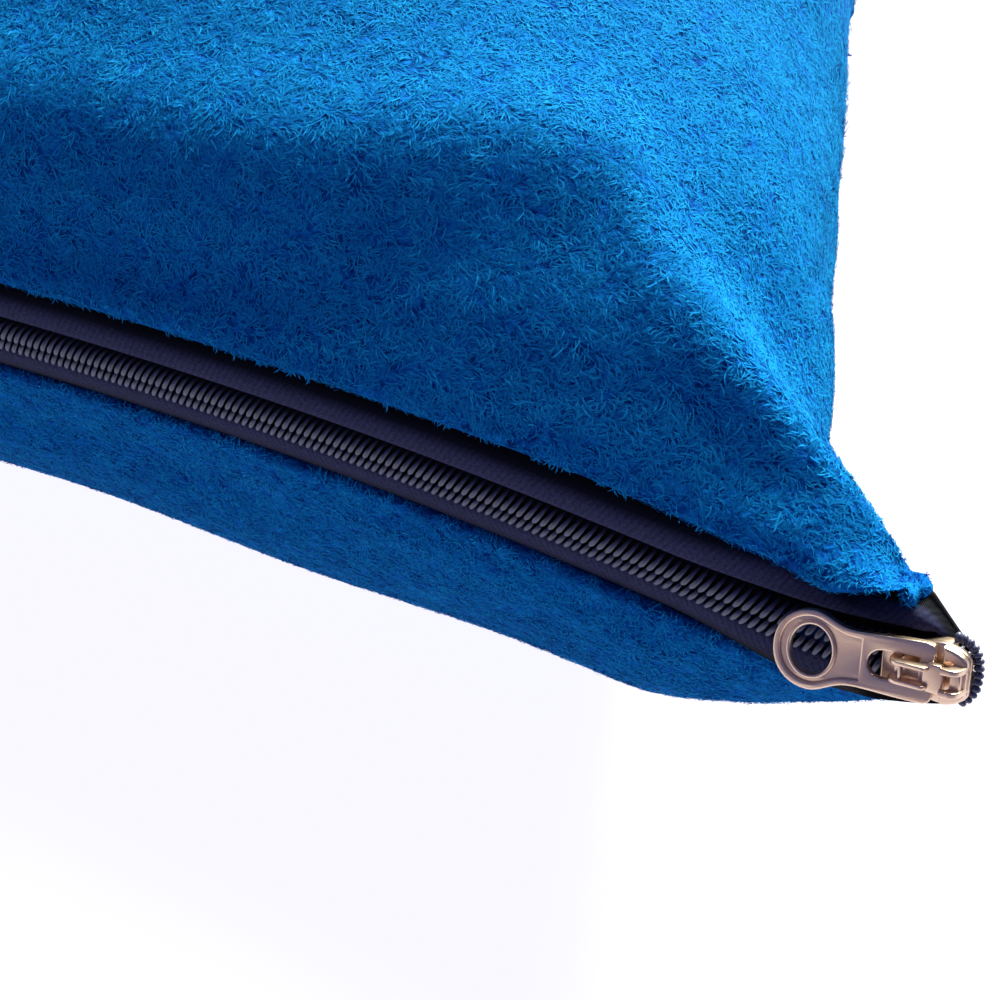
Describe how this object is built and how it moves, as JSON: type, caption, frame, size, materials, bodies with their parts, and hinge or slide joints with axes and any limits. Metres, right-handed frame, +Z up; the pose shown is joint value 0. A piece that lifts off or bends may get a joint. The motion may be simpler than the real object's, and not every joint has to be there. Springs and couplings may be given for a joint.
{
  "type": "blanket pillow",
  "caption": "Filled fleece pillow with drawn-in sides and pointed corners, closed along one long side by a coil zip with a metal slider and ring pull.",
  "frame": {"origin": "under the middle of the pillow's box, on the surface that it rests on", "axes": "+X along the zip towards the end where the slider stands closed, -Y out of the zip side, +Z up through the crown"},
  "size_m": [0.3805, 0.3336, 0.1065],
  "materials": {
    "fleece": "brushed",
    "zip_tape": "woven",
    "zip_coil": "satin",
    "zip_metal": "satin"
  },
  "bodies": {
    "root": {"pillow": "fleece", "zip_tape_upper": "zip_tape", "zip_tape_lower": "zip_tape", "zip_coil_upper": "zip_coil", "zip_coil_lower": "zip_coil", "zip_slider": "zip_metal", "zip_pull": "zip_metal"}
  },
  "joints": []
}
